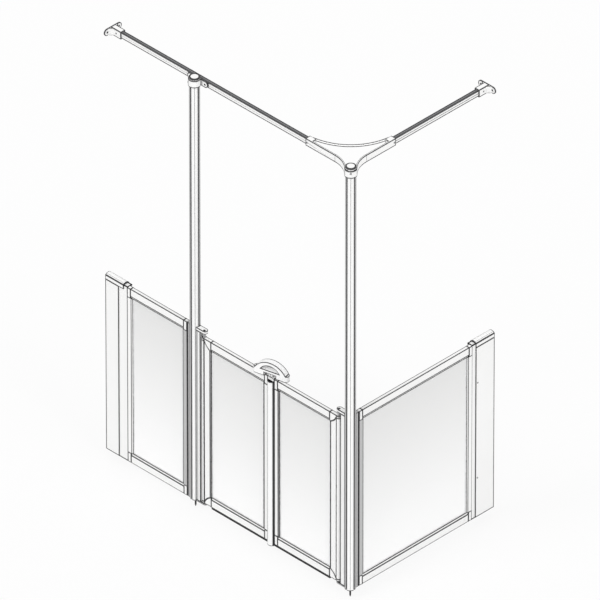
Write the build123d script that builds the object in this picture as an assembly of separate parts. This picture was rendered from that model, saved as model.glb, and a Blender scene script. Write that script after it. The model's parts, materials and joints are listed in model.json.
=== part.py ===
from build123d import *
import os
from math import cos, radians, sin, sqrt

# Half height shower screen for a corner tray, in millimetres.
# The origin is the corner post's axis at floor level, and +Z is up.
# The door side runs along X to the left wall, the return side along Y to the right wall.
# Outside the shower is -Y on the door side and +X on the return side.

# Layout
door_side_length = 1445.0
return_side_length = 843.0
post_spacing = 923.0
frame_height = 900.0
post_height = 2160.0

# Posts, one extrusion used twice
post_radius = 23.5
post_wall = 2.4
post_slot_width = 6.0
post_slot_depth = 7.0
post_hub_radius = 12.0
post_bore_radius = 9.0
post_web = 2.0
seam_width = 1.8
seam_depth = 0.9
post_cap_height = 8.0
post_cap_overhang = 0.5
post_cap_round = 1.5
post_cap_groove = 1.6
post_cap_ring_inset = 3.2

# Floor pins and the plugs that hold them
pin_radius = 4.0
pin_reach = 44.0
pin_point = 10.0
pin_tip_radius = 0.8
pin_thread_radius = 3.5
plug_length = 30.0
plug_recess = 2.0

# Frames of the panels and doors, all in one plane
frame_front = -15.0
frame_thickness = 18.0
frame_wall = 2.0
rail_height = 48.0
rail_bevel = 10.5
stile_width = 28.0
stile_bevel = 6.0
bevel_depth = 5.0
corner_cap_width = 19.0
corner_cap_proud = 0.4
corner_cap_radius = 3.0

# Glazing
glass_thickness = 4.0
gasket_wall = 1.0
glass_bite = 8.0
gasket_show = 6.0

# Infill profiles between the fixed panels and their posts, reaching from the post's axis
side_joiner_reach = 35.6
return_joiner_reach = 38.0
joiner_groove_inset = 4.0
joiner_groove_width = 3.0
joiner_groove_depth = 1.5

# Wall posts
channel_thickness = 33.0
channel_wall = 2.0
side_channel_width = 80.0
return_channel_width = 112.0
slide_gap = 0.5
adjuster_wall = 1.6
adjuster_wall_gap = 12.0
side_adjuster_show = 50.5
return_adjuster_show = 20.0
wall_cap_height = 28.0
wall_cap_rise = 9.0
wall_cap_crown = 8.0
side_wall_cap_overlap = 29.0
adjuster_plug_depth = 10.0
wall_hole_radius = 2.75
wall_hole_inset = 150.0
lock_screw_inset = 11.6
lock_screw_rise = 203.0
lock_screw_drop = 205.0

# Doors
pivot_to_post = 61.5
pivot_foot_gap = 4.0
pivot_head_gap = 21.0
nose_radius = 11.0
nose_gap = 1.0
hinge_stile_width = 47.0
pivot_cap_lip = 10.0
pivot_cap_lip_end = 8.0
swoop_bulge = 4.0
swoop_middle = 0.6
meeting_offset = 23.3
meeting_gap = 1.3
door_edge_gap = 1.7
strip_width = 36.5
strip_proud = 13.0
strip_floor_gap = 1.5
edge_seal_thickness = 1.1
edge_seal_width = 10.0
wiper_thickness = 14.0
wiper_floor_gap = 1.0
wiper_rib = 2.0

# Hinge profiles and pivots
hinge_depth = 25.0
hinge_chamfer = 7.0
hinge_lip = 0.5
hinge_wall = 6.0
hinge_cap_height = 14.0
hinge_foot_height = 8.0
pivot_pin_radius = 3.0
pivot_pin_bite = 18.0
pivot_bush_radius = 6.0
pivot_end_gap = 0.3
pin_running_gap = 0.05

# Door handle, which turns on a spindle in the meeting strip's cap
spindle_offset = 5.25
spindle_setback = 2.0
handle_rest_angle = 14.0
handle_length = 172.0
handle_width = 31.0
handle_foot_gap = 1.0
handle_deck = 28.0
handle_bridge = 17.0
handle_peak = 72.0
handle_shoulder = 10.0
handle_foot_length = 57.0
finger_sill = 2.0
finger_length = 92.0
finger_height = 26.0
hub_radius = 12.0
spindle_radius = 5.0
spindle_depth = 14.0
strip_cap_height = 16.0

# Overhead rails and their brackets
rail_width = 18.0
rail_depth = 28.0
rail_wall = 2.0
rail_drop = 21.0
rail_post_gap = 0.5
rail_groove_width = 2.4
rail_groove_depth = 1.4
fit_gap = 0.2
bracket_wall = 4.0
bracket_length = 64.0
bracket_plate = 5.0
ear_spacing = 68.0
ear_radius = 11.0
ear_hole_radius = 2.75
flare_radius = 16.0
bracket_screw_inset = 37.0
cup_wall = 3.5
cup_height = 34.0
wing_reach = 60.0
wing_drop = 2.0
wing_rise = 1.0
wing_round = 7.0
wing_screw_inset = 9.0
connector_reach = 286.0
connector_wall = 3.8
connector_sleeve = 36.0
connector_end_wall = 4.0
connector_fascia = 6.5
brace_radius = 5.8
brace_mid_offset = 120.0
brace_end_inset = 18.0
collar_screw_rise = 6.0
screw_head_radius = 3.6
screw_head_height = 1.8
screw_radius = 2.0
screw_length = 8.0

# Values that follow from those above
side_post_x = -post_spacing
frame_back = frame_front + frame_thickness
frame_middle = frame_front + frame_thickness / 2
side_panel_wall_end = door_side_length - side_channel_width - side_adjuster_show
side_panel_post_end = post_spacing + side_joiner_reach
return_panel_wall_end = return_side_length - return_channel_width - return_adjuster_show
adjuster_thickness = channel_thickness - 2 * (channel_wall + slide_gap)
pocket_thickness = glass_thickness + 2 * gasket_wall
pocket_depth = glass_bite + gasket_wall
left_pivot_x = side_post_x + pivot_to_post
door_centre_x = side_post_x / 2
door_bottom = hinge_foot_height + pivot_foot_gap
door_top = frame_height - hinge_cap_height - pivot_head_gap
meeting_x = door_centre_x + meeting_offset
rail_centre_z = post_height - rail_drop
rail_offset = post_radius + rail_post_gap + rail_width / 2
rail_low = rail_centre_z - rail_depth / 2
rail_high = rail_centre_z + rail_depth / 2
connector_height = rail_depth + 2 * (fit_gap + connector_wall)
sleeve_end = connector_reach - connector_sleeve
rail_end = sleeve_end + connector_end_wall
brace_end_along = connector_reach - brace_end_inset
strip_right = meeting_x - meeting_gap
strip_left = strip_right - strip_width
left_door_reach = strip_left - left_pivot_x
right_door_reach = -pivot_to_post - (meeting_x + door_edge_gap)
handle_x = (strip_left + strip_right) / 2 - spindle_offset
handle_y = frame_middle + spindle_setback


def block(x, y, z):
    """A box between the two values given for each axis."""
    centre = Pos((x[0] + x[1]) / 2, (y[0] + y[1]) / 2, (z[0] + z[1]) / 2)
    return centre * Box(abs(x[1] - x[0]), abs(y[1] - y[0]), abs(z[1] - z[0]))


def rod(x, y, z, radius):
    """An upright round bar between two heights."""
    return Pos(x, y, (z[0] + z[1]) / 2) * Cylinder(radius, abs(z[1] - z[0]))


def along_x(points, x):
    """A closed outline of (y, z) points, drawn out between two values of x."""
    face = make_face(Plane.YZ.offset(x[0]) * Polyline(*points, close=True))
    return extrude(face, amount=x[1] - x[0], dir=(1, 0, 0))


def upright(points, z):
    """A closed outline of (x, y) points, drawn up between two heights."""
    face = make_face(Plane.XY.offset(z[0]) * Polyline(*points, close=True))
    return extrude(face, amount=z[1] - z[0], dir=(0, 0, 1))


def lying(outline, y):
    """A closed outline in the XZ plane, drawn out between two values of y."""
    face = make_face(Pos(0, y[0], 0) * outline)
    return extrude(face, amount=y[1] - y[0], dir=(0, 1, 0))


def on_return_side(shape):
    """The same shape on the return side, mirrored across the corner's diagonal."""
    return mirror(shape, about=Plane(origin=(0, 0, 0), z_dir=(1, 1, 0)))


def on_right_door(shape):
    """The same shape on the right door, mirrored across the middle of the doorway."""
    return mirror(shape, about=Plane(origin=(door_centre_x, 0, 0), z_dir=(1, 0, 0)))


# Posts

def post(x):
    section = Circle(post_radius)
    chamber = Circle(post_radius - post_wall) - Circle(post_hub_radius)
    slot_zone = post_slot_width + 2 * post_web
    for angle in (0, 90):
        for side in (-1, 1):
            slot = Rectangle(2 * post_slot_depth, post_slot_width)
            section -= Rot(0, 0, angle) * Pos(side * post_radius, 0) * slot
        chamber -= Rot(0, 0, angle) * Rectangle(2 * post_radius, slot_zone)
    for angle in (45, 135, 225, 315):
        section -= Rot(0, 0, angle) * Pos(post_radius, 0) * Rectangle(2 * seam_depth, seam_width)
    section -= chamber
    section -= Circle(post_bore_radius)
    return Pos(x, 0, 0) * extrude(section, amount=post_height)


def post_cap(x):
    radius = post_radius + post_cap_overhang
    cap = rod(x, 0, (post_height, post_height + post_cap_height), radius)
    cap = fillet(cap.edges().group_by(Axis.Z)[-1], post_cap_round)
    ring_outer = radius - post_cap_ring_inset
    top = post_height + post_cap_height
    groove = rod(x, 0, (top - post_cap_groove, top), ring_outer)
    groove -= rod(x, 0, (top - post_cap_groove, top), ring_outer - post_cap_groove)
    spigot = rod(x, 0, (post_height - plug_length, post_height), post_bore_radius - fit_gap)
    return cap - groove + spigot


def foot_plug(x):
    plug = rod(x, 0, (plug_recess, plug_length), post_bore_radius - fit_gap)
    return plug - rod(x, 0, (0, plug_length), pin_thread_radius + pin_running_gap)


def floor_pin(x):
    shank_end = pin_point - pin_reach
    pin = rod(x, 0, (shank_end, plug_recess), pin_radius)
    pin += rod(x, 0, (plug_recess, plug_length), pin_thread_radius)
    point = Cone(pin_tip_radius, pin_radius, pin_point)
    return pin + Pos(x, 0, shank_end - pin_point / 2) * point


# Frame members. Each panel stands between two values of x and two heights.

def glazing_pocket(x, z):
    thickness = (frame_middle - pocket_thickness / 2, frame_middle + pocket_thickness / 2)
    return block(x, thickness, z)


def window_pocket(window_x, window_z):
    """The space that the gasket fills, in the grooves of the rails and stiles."""
    return glazing_pocket(
        (window_x[0] - pocket_depth, window_x[1] + pocket_depth),
        (window_z[0] - pocket_depth, window_z[1] + pocket_depth),
    )


def frame_rail(x, outer_z, inwards):
    """A rail with its outer edge at outer_z; inwards is +1 on the bottom rail, -1 on the top."""
    face_z = outer_z + inwards * (rail_height - rail_bevel)
    inner_z = outer_z + inwards * rail_height
    points = [
        (frame_front, outer_z), (frame_front, face_z), (frame_front + bevel_depth, inner_z),
        (frame_back - bevel_depth, inner_z), (frame_back, face_z), (frame_back, outer_z),
    ]
    chamber_z = (outer_z + inwards * frame_wall, inner_z - inwards * (pocket_depth + frame_wall))
    chamber = block(x, (frame_front + frame_wall, frame_back - frame_wall), chamber_z)
    return along_x(points, x) - chamber


def frame_stile(outer_x, inwards, z, width=stile_width):
    """A stile with its outer edge at outer_x; inwards is the way to the glass along x."""
    face_x = outer_x + inwards * (width - stile_bevel)
    inner_x = outer_x + inwards * width
    points = [
        (outer_x, frame_front), (face_x, frame_front), (inner_x, frame_front + bevel_depth),
        (inner_x, frame_back - bevel_depth), (face_x, frame_back), (outer_x, frame_back),
    ]
    chamber_x = (outer_x + inwards * frame_wall, inner_x - inwards * (pocket_depth + frame_wall))
    chamber = block(chamber_x, (frame_front + frame_wall, frame_back - frame_wall), z)
    return upright(points, z) - chamber


def corner_cap(outer_x, inwards, outer_z, upwards):
    """The plastic end cap of a rail at one corner of a frame."""
    x = (outer_x, outer_x + inwards * corner_cap_width)
    z = (outer_z, outer_z + upwards * rail_height)
    y = (frame_front - corner_cap_proud, frame_back + corner_cap_proud)
    cap = block(x, y, z)
    outer_edge = cap.edges().filter_by(Axis.Y).sort_by_distance((outer_x, frame_middle, outer_z))[0]
    return fillet(outer_edge, corner_cap_radius)


def glass_pane(window_x, window_z):
    x = (window_x[0] - glass_bite, window_x[1] + glass_bite)
    z = (window_z[0] - glass_bite, window_z[1] + glass_bite)
    return block(x, (frame_middle - glass_thickness / 2, frame_middle + glass_thickness / 2), z)


def glazing_gasket(window_x, window_z, pane):
    """A channel of rubber round the glass, which shows round the window's edge."""
    window = glazing_pocket(
        (window_x[0] + gasket_show, window_x[1] - gasket_show),
        (window_z[0] + gasket_show, window_z[1] - gasket_show),
    )
    return window_pocket(window_x, window_z) - window - pane


def fixed_panel(wall_end, post_end):
    """The pieces of a fixed panel between its wall post and its corner or side post."""
    x = (-wall_end, -post_end)
    window_x = (x[0] + stile_width, x[1] - stile_width)
    window_z = (rail_height, frame_height - rail_height)
    pocket = window_pocket(window_x, window_z)
    rail_x = (x[0] + corner_cap_width, x[1] - corner_cap_width)
    pane = glass_pane(window_x, window_z)
    caps = [
        corner_cap(outer_x, inwards, outer_z, upwards)
        for outer_x, inwards in ((x[0], 1), (x[1], -1))
        for outer_z, upwards in ((0, 1), (frame_height, -1))
    ]
    rails = [frame_rail(rail_x, frame_height, -1) - pocket, frame_rail(rail_x, 0, 1) - pocket]
    stiles = [frame_stile(x[0], 1, window_z) - pocket, frame_stile(x[1], -1, window_z) - pocket]
    return {
        "rails": Compound(rails),
        "stiles": Compound(stiles),
        "corner_caps": Compound(caps),
        "glass": pane,
        "gasket": glazing_gasket(window_x, window_z, pane),
    }


def post_joiner(post_x, panel_x, outwards):
    """The upright infill between a fixed panel and its post, with a tongue in the post's slot."""
    body = block((panel_x, post_x), (frame_front, frame_back), (0, frame_height))
    body -= rod(post_x, 0, (0, frame_height), post_radius + pin_running_gap)
    groove_end = joiner_groove_inset + joiner_groove_width
    groove_x = (panel_x + outwards * joiner_groove_inset, panel_x + outwards * groove_end)
    body -= block(groove_x, (frame_front, frame_front + joiner_groove_depth), (0, frame_height))
    slot_floor = post_x - outwards * (post_radius - post_slot_depth)
    half = post_slot_width / 2 - fit_gap
    tongue_x = (panel_x + outwards * frame_wall, slot_floor - outwards * fit_gap)
    body = body.solids().sort_by_distance((panel_x, frame_middle, frame_height / 2))[0]
    return body + block(tongue_x, (-half, half), (0, frame_height))


# Wall posts, built for the left wall

def wall_channel(wall_x, width):
    """The channel that is screwed to the wall, open towards the panel."""
    outside_y = channel_thickness / 2
    height = frame_height - wall_cap_height + wall_cap_rise
    channel = block((wall_x, wall_x + width), (-outside_y, outside_y), (0, height))
    inside_y = outside_y - channel_wall
    channel -= block((wall_x + channel_wall, wall_x + width), (-inside_y, inside_y), (0, height))
    for z in (wall_hole_inset, frame_height - wall_hole_inset):
        hole = Pos(wall_x, 0, z) * Rot(0, 90, 0) * Cylinder(wall_hole_radius, 4 * channel_wall)
        channel -= hole
    return channel


def wall_adjuster(wall_x, panel_x):
    """The box section that slides in the wall channel and carries the panel."""
    half = adjuster_thickness / 2
    x = (wall_x + adjuster_wall_gap, panel_x)
    adjuster = block(x, (-half, half), (0, frame_height))
    inner = half - adjuster_wall
    inner_x = (x[0] + adjuster_wall, x[1] - adjuster_wall)
    return adjuster - block(inner_x, (-inner, inner), (0, frame_height))


def wall_cap(wall_x, length):
    """The barrel-topped cap on the wall channel."""
    low = frame_height - wall_cap_height + wall_cap_rise
    high = frame_height + wall_cap_rise
    half = channel_thickness / 2 + corner_cap_proud
    outline = Line((wall_x, -half, low), (wall_x, half, low))
    outline += Line((wall_x, half, low), (wall_x, half, high - wall_cap_crown))
    outline += ThreePointArc(
        (wall_x, half, high - wall_cap_crown), (wall_x, 0, high), (wall_x, -half, high - wall_cap_crown)
    )
    outline += Line((wall_x, -half, high - wall_cap_crown), (wall_x, -half, low))
    cap = extrude(make_face(outline), amount=length, dir=(1, 0, 0))
    inner = adjuster_thickness / 2 + fit_gap
    hollow_x = (wall_x + adjuster_wall_gap - fit_gap, wall_x + length)
    return cap - block(hollow_x, (-inner, inner), (low, frame_height + fit_gap))


def adjuster_plug(wall_x, panel_x):
    """The plug that closes the adjuster's open top, flush with the panel."""
    half = adjuster_thickness / 2 - adjuster_wall
    x = (wall_x + adjuster_wall_gap + adjuster_wall, panel_x - adjuster_wall)
    return block(x, (-half, half), (frame_height - adjuster_plug_depth, frame_height))


def lock_screw_places(wall_x, width):
    """The two screws through the outer face that lock the adjuster in its channel."""
    x = wall_x + width - lock_screw_inset
    heights = (lock_screw_rise, frame_height - lock_screw_drop)
    return [((x, -channel_thickness / 2, z), outside) for z in heights]


# Screws. A place is the point a head sits on and the way the head faces.

outside = (0, -1, 0)


def small_screw(seat, direction):
    """A pan-head screw whose head sits on the point seat and faces direction."""
    plane = Plane(origin=seat, z_dir=direction)
    head = extrude(plane * Circle(screw_head_radius), amount=screw_head_height)
    rim = head.edges().filter_by(GeomType.CIRCLE).sort_by(Axis(seat, direction))[-1]
    head = fillet(rim, screw_head_height / 2)
    shank = extrude(plane * Circle(screw_radius), amount=-screw_length)
    return head + shank


def screws(places):
    return Compound([small_screw(seat, direction) for seat, direction in places])


def drilled(shape, places):
    """The shape with a clearance hole for each screw that reaches it."""
    for seat, direction in places:
        plane = Plane(origin=seat, z_dir=direction)
        hole = extrude(plane * Circle(screw_radius + pin_running_gap), amount=-screw_length - fit_gap)
        shape -= hole
    return shape


def places_on_return_side(places):
    return [((-y, -x, z), (-b, -a, c)) for (x, y, z), (a, b, c) in places]


# Hinge profiles and pivots, built at the side post

def hinge_profile():
    """The upright profile beside the post, hollowed for the door's round nose."""
    back = frame_front + hinge_depth
    post_face = side_post_x
    front_x = left_pivot_x - nose_radius + hinge_lip
    points = [
        (post_face, frame_front), (front_x - hinge_chamfer, frame_front),
        (front_x, frame_front + hinge_chamfer), (front_x, back - hinge_chamfer),
        (front_x - hinge_chamfer, back), (post_face, back),
    ]
    z = (hinge_foot_height, frame_height - hinge_cap_height)
    profile = upright(points, z)
    profile -= rod(side_post_x, 0, z, post_radius + pin_running_gap)
    profile -= rod(left_pivot_x, frame_middle, z, nose_radius + nose_gap)
    profile = profile.solids().sort_by(Axis.X)[-1]
    web_x = side_post_x + post_radius + hinge_wall
    chamber_x = (web_x, left_pivot_x - nose_radius - 2 * frame_wall)
    chamber_y = (frame_front + 2 * frame_wall, back - 2 * frame_wall)
    profile -= block(chamber_x, chamber_y, z)
    half = post_slot_width / 2 - fit_gap
    tongue_x = (side_post_x + post_radius - post_slot_depth + fit_gap, web_x)
    return profile + block(tongue_x, (-half, half), z)


def hinge_cap(z):
    """A cap over one end of the hinge profile, rounded over the pivot."""
    back = frame_front + hinge_depth
    radius = hinge_depth / 2
    middle = frame_front + radius
    cap = block((side_post_x, left_pivot_x), (frame_front, back), z)
    cap += rod(left_pivot_x, middle, z, radius)
    cap -= rod(side_post_x, 0, z, post_radius + pin_running_gap)
    cap = cap.solids().sort_by(Axis.X)[-1]
    return cap - rod(left_pivot_x, frame_middle, z, pivot_pin_radius)


def pivot_pin(cap_z, bush_z, pin_z):
    """A pivot pin held in its cap, with a bush that the door turns against."""
    pin = rod(left_pivot_x, frame_middle, (cap_z, pin_z), pivot_pin_radius)
    return pin + rod(left_pivot_x, frame_middle, bush_z, pivot_bush_radius)


def pivot_pins():
    low_of_cap = frame_height - hinge_cap_height
    top = pivot_pin(frame_height - frame_wall, (door_top + pivot_end_gap, low_of_cap),
                    door_top - pivot_pin_bite)
    bottom = pivot_pin(frame_wall, (hinge_foot_height, door_bottom - pivot_end_gap),
                       door_bottom + pivot_pin_bite)
    return [top, bottom]


# Doors, built as the left one with the pivot at left_pivot_x

def nose_and_web(x_end, z):
    """The hinge stile's solid form: a round nose on the pivot and a flat body behind it."""
    body = rod(left_pivot_x, frame_middle, z, nose_radius)
    return body + block((left_pivot_x, x_end), (frame_front, frame_back), z)


def swoop_zone(outer_z, upwards):
    """The part of the hinge corner that the swooped pivot cap covers."""
    reach = left_pivot_x + hinge_stile_width
    lip_x = left_pivot_x + pivot_cap_lip_end
    start = left_pivot_x - nose_radius * 2
    lip_z = outer_z + upwards * pivot_cap_lip
    inner_z = outer_z + upwards * rail_height
    bulge = ((lip_x + reach) / 2 - swoop_bulge, lip_z + swoop_middle * (inner_z - lip_z))
    outline = Line((start, 0, outer_z), (start, 0, lip_z))
    outline += Line((start, 0, lip_z), (lip_x, 0, lip_z))
    outline += ThreePointArc((lip_x, 0, lip_z), (bulge[0], 0, bulge[1]), (reach, 0, inner_z))
    outline += Line((reach, 0, inner_z), (reach, 0, outer_z))
    outline += Line((reach, 0, outer_z), (start, 0, outer_z))
    return lying(outline, (frame_front - hinge_depth, frame_back + hinge_depth))


def pivot_bores():
    """The heights of the pin bores at the door's top and bottom."""
    depth = pivot_pin_bite + pivot_end_gap
    return [(door_top - depth, door_top), (door_bottom, door_bottom + depth)]


def pivot_cap(outer_z, upwards, pocket):
    z = (outer_z, outer_z + upwards * rail_height)
    cap = nose_and_web(left_pivot_x + hinge_stile_width, z) & swoop_zone(outer_z, upwards)
    for bore_z in pivot_bores():
        cap -= rod(left_pivot_x, frame_middle, bore_z, pivot_pin_radius + pin_running_gap)
    return cap - pocket


def hinge_stile(pocket):
    """The door's upright at the hinge, with its round nose and a bevel to the glass."""
    z = (door_bottom, door_top)
    inner_x = left_pivot_x + hinge_stile_width
    face_x = inner_x - stile_bevel
    nose = rod(left_pivot_x, frame_middle, z, nose_radius)
    points = [
        (left_pivot_x, frame_front), (face_x, frame_front), (inner_x, frame_front + bevel_depth),
        (inner_x, frame_back - bevel_depth), (face_x, frame_back), (left_pivot_x, frame_back),
    ]
    chamber_x = (left_pivot_x + nose_radius, inner_x - pocket_depth - frame_wall)
    chamber = block(chamber_x, (frame_front + frame_wall, frame_back - frame_wall), z)
    stile = nose + upright(points, z) - chamber
    for bore_z in pivot_bores():
        stile -= rod(left_pivot_x, frame_middle, bore_z, pivot_pin_radius + pin_running_gap)
    return stile - swoop_zone(door_top, -1) - swoop_zone(door_bottom, 1) - pocket


def door(reach):
    """The pieces of a door whose free edge lies reach from its pivot."""
    hinge_edge = left_pivot_x + hinge_stile_width
    free_edge = left_pivot_x + reach
    window_x = (hinge_edge, free_edge - stile_width)
    window_z = (door_bottom + rail_height, door_top - rail_height)
    pocket = window_pocket(window_x, window_z)
    rail_x = (hinge_edge, free_edge - corner_cap_width)
    pane = glass_pane(window_x, window_z)
    caps = [corner_cap(free_edge, -1, door_top, -1), corner_cap(free_edge, -1, door_bottom, 1)]
    rails = [frame_rail(rail_x, door_top, -1) - pocket, frame_rail(rail_x, door_bottom, 1) - pocket]
    return {
        "rails": Compound(rails),
        "hinge_stile": hinge_stile(pocket),
        "meeting_stile": frame_stile(free_edge, -1, window_z) - pocket,
        "pivot_caps": Compound([pivot_cap(door_top, -1, pocket), pivot_cap(door_bottom, 1, pocket)]),
        "corner_caps": Compound(caps),
        "glass": pane,
        "gasket": glazing_gasket(window_x, window_z, pane),
        "wiper": bottom_wiper(hinge_edge, free_edge),
    }


def bottom_wiper(hinge_edge, free_edge):
    """The ribbed rubber strip under a door, down to just above the floor."""
    half = wiper_thickness / 2
    y = (frame_middle - half, frame_middle + half)
    wiper = block((hinge_edge, free_edge), y, (wiper_floor_gap, door_bottom))
    rib = wiper_rib
    for z in (wiper_floor_gap + rib, wiper_floor_gap + 3 * rib):
        for side in (-1, 1):
            edge = frame_middle + side * half
            wiper -= block((hinge_edge, free_edge), (edge - side * rib, edge + side * rib), (z, z + rib))
    return wiper


def meeting_strip():
    """The half-round strip on the left door's free edge, from the floor to the door's top."""
    middle = (strip_left + strip_right) / 2
    z = (strip_floor_gap, door_top - strip_cap_height)
    outline = Line((strip_left, frame_back), (strip_left, frame_front))
    outline += ThreePointArc(
        (strip_left, frame_front), (middle, frame_front - strip_proud), (strip_right, frame_front)
    )
    outline += Line((strip_right, frame_front), (strip_right, frame_back))
    outline += Line((strip_right, frame_back), (strip_left, frame_back))
    strip = extrude(Pos(0, 0, z[0]) * make_face(outline), amount=z[1] - z[0])
    chamber = block(
        (strip_left + frame_wall, strip_right - frame_wall),
        (frame_front + frame_wall, frame_back - frame_wall),
        z,
    )
    return strip - chamber


def strip_cap():
    """The block on top of the meeting strip that holds the handle's spindle."""
    z = (door_top - strip_cap_height, door_top)
    cap = block((strip_left, strip_right), (frame_front, frame_back), z)
    return cap - rod(handle_x, handle_y, (door_top - spindle_depth, door_top), spindle_radius)


def edge_seal():
    """The black seal on the right door's free edge, which closes the gap between the doors."""
    x_door = meeting_x + door_edge_gap
    half = edge_seal_width / 2
    x = (x_door - edge_seal_thickness, x_door)
    return block(x, (frame_middle - half, frame_middle + half), (door_bottom, door_top))


# Door handle, built straight along X about the origin and then set on its spindle

def handle_plan(low, high):
    """The handle's long rounded outline seen from above, between two heights."""
    half_length = handle_length / 2
    half_width = handle_width / 2
    shoulder = half_length - half_width
    outline = Line((-shoulder, -half_width), (shoulder, -half_width))
    outline += ThreePointArc((shoulder, -half_width), (half_length, 0), (shoulder, half_width))
    outline += Line((shoulder, half_width), (-shoulder, half_width))
    outline += ThreePointArc((-shoulder, half_width), (-half_length, 0), (-shoulder, -half_width))
    return Pos(0, 0, low) * extrude(make_face(outline), amount=high - low)


def handle_side():
    """The handle seen from the side: two feet, a deck and an arch over the finger opening."""
    half = handle_length / 2
    y = (-handle_width, handle_width)
    arch_half = half - handle_shoulder
    arch = Line((-arch_half, 0, handle_deck), (arch_half, 0, handle_deck))
    arch += ThreePointArc(
        (arch_half, 0, handle_deck), (0, 0, handle_peak), (-arch_half, 0, handle_deck)
    )
    side = lying(arch, y)
    side += block((-half, half), y, (0, handle_deck))
    finger_half = finger_length / 2
    sill = handle_deck + finger_sill
    opening = Line((-finger_half, 0, sill), (finger_half, 0, sill))
    opening += ThreePointArc(
        (finger_half, 0, sill), (0, 0, sill + finger_height), (-finger_half, 0, sill)
    )
    side -= lying(opening, y)
    between_feet = half - handle_foot_length
    return side - block((-between_feet, between_feet), y, (0, handle_bridge))


def set_on_spindle(shape):
    base = door_top + handle_foot_gap
    return Pos(handle_x, handle_y, base) * Rot(0, 0, handle_rest_angle) * shape


def handle_grip():
    """The grip with the boss under it that turns on the spindle."""
    grip = handle_plan(0, handle_peak) & handle_side()
    grip += rod(0, 0, (0, handle_bridge), hub_radius)
    grip -= rod(0, 0, (0, handle_bridge), spindle_radius + pin_running_gap)
    return set_on_spindle(grip)


def handle_spindle():
    top = door_top + handle_foot_gap + handle_bridge - pivot_end_gap
    return rod(handle_x, handle_y, (door_top - spindle_depth, top), spindle_radius)


# Overhead rails and brackets

def overhead_rail(x_wall):
    """A rail from its wall bracket to its seat in the corner connector."""
    y = (rail_offset - rail_width / 2, rail_offset + rail_width / 2)
    x = (x_wall + bracket_plate, -rail_end)
    rail = block(x, y, (rail_low, rail_high))
    inner_y = (y[0] + rail_wall, y[1] - rail_wall)
    rail -= block(x, inner_y, (rail_low + rail_wall, rail_high - rail_wall - rail_groove_depth))
    for step in (-1, 1):
        middle = rail_offset + step * rail_width / 5
        groove_y = (middle - rail_groove_width / 2, middle + rail_groove_width / 2)
        rail -= block(x, groove_y, (rail_high - rail_groove_depth, rail_high))
    return rail


def rail_pocket(x):
    """The space that a rail takes, with a fitting gap all round."""
    half_width = rail_width / 2 + fit_gap
    half_depth = rail_depth / 2 + fit_gap
    return block(
        x,
        (rail_offset - half_width, rail_offset + half_width),
        (rail_centre_z - half_depth, rail_centre_z + half_depth),
    )


def rail_bracket(x_wall):
    """A wall bracket: a plate with two screw ears, flaring into a sleeve round the rail."""
    half_ear = ear_spacing / 2
    half_sleeve = rail_width / 2 + fit_gap + bracket_wall
    plate_x = x_wall + bracket_plate
    half_plate = half_ear + ear_radius
    outline = Line((x_wall, rail_offset - half_plate), (x_wall, rail_offset + half_plate))
    corners = [
        (plate_x, rail_offset + half_plate),
        (plate_x, rail_offset + half_sleeve + flare_radius),
        (plate_x + flare_radius, rail_offset + half_sleeve),
        (x_wall + bracket_length, rail_offset + half_sleeve),
    ]
    mirrored = [(x, 2 * rail_offset - y) for x, y in corners]
    quarter = flare_radius * (1 - 1 / sqrt(2))
    for side, points in ((1, corners), (-1, mirrored)):
        outline += Line((x_wall, points[0][1]), points[0])
        outline += Line(points[0], points[1])
        bend = (plate_x + quarter, rail_offset + side * (half_sleeve + quarter))
        outline += ThreePointArc(points[1], bend, points[2])
        outline += Line(points[2], points[3])
    outline += Line(corners[3], mirrored[3])
    half_height = rail_depth / 2 + fit_gap + bracket_wall
    plan = extrude(
        Pos(0, 0, rail_centre_z - half_height) * make_face(outline), amount=2 * half_height
    )
    ears = block(
        (x_wall, x_wall + bracket_length),
        (rail_offset - half_ear, rail_offset + half_ear),
        (rail_centre_z - ear_radius, rail_centre_z + ear_radius),
    )
    for side in (-1, 1):
        centre = Pos(x_wall + bracket_length / 2, rail_offset + side * half_ear, rail_centre_z)
        ears += centre * Rot(0, 90, 0) * Cylinder(ear_radius, bracket_length)
    ears += block(
        (x_wall, x_wall + bracket_length),
        (rail_offset - half_sleeve, rail_offset + half_sleeve),
        (rail_centre_z - half_height, rail_centre_z + half_height),
    )
    bracket = plan & ears
    bracket -= rail_pocket((plate_x, x_wall + bracket_length))
    for side in (-1, 1):
        centre = Pos(x_wall, rail_offset + side * half_ear, rail_centre_z)
        bracket -= centre * Rot(0, 90, 0) * Cylinder(ear_hole_radius, 6 * bracket_plate)
    return bracket


def bracket_screw_places(x_wall):
    half_sleeve = rail_width / 2 + fit_gap + bracket_wall
    return [((x_wall + bracket_screw_inset, rail_offset - half_sleeve, rail_centre_z), outside)]


def side_post_bracket():
    """A cup round the side post with two wings screwed to the long rail's outer face."""
    rail_face = rail_offset - rail_width / 2
    top = post_height
    bottom = post_height - cup_height
    outer = post_radius + cup_wall
    cup = rod(side_post_x, 0, (bottom, top), outer)
    wing_x = (side_post_x - wing_reach, side_post_x + wing_reach)
    wing_z = (rail_low + wing_drop, rail_high + wing_rise)
    wings = block(wing_x, (rail_face - cup_wall, rail_face), wing_z)
    wings = fillet(wings.edges().filter_by(Axis.Y), wing_round)
    bracket = cup + wings
    bracket -= rod(side_post_x, 0, (bottom, top), post_radius + pin_running_gap)
    beyond_rail_face = block(
        (side_post_x - outer, side_post_x + outer), (rail_face, rail_face + outer), (bottom, top)
    )
    return bracket - beyond_rail_face


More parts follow.
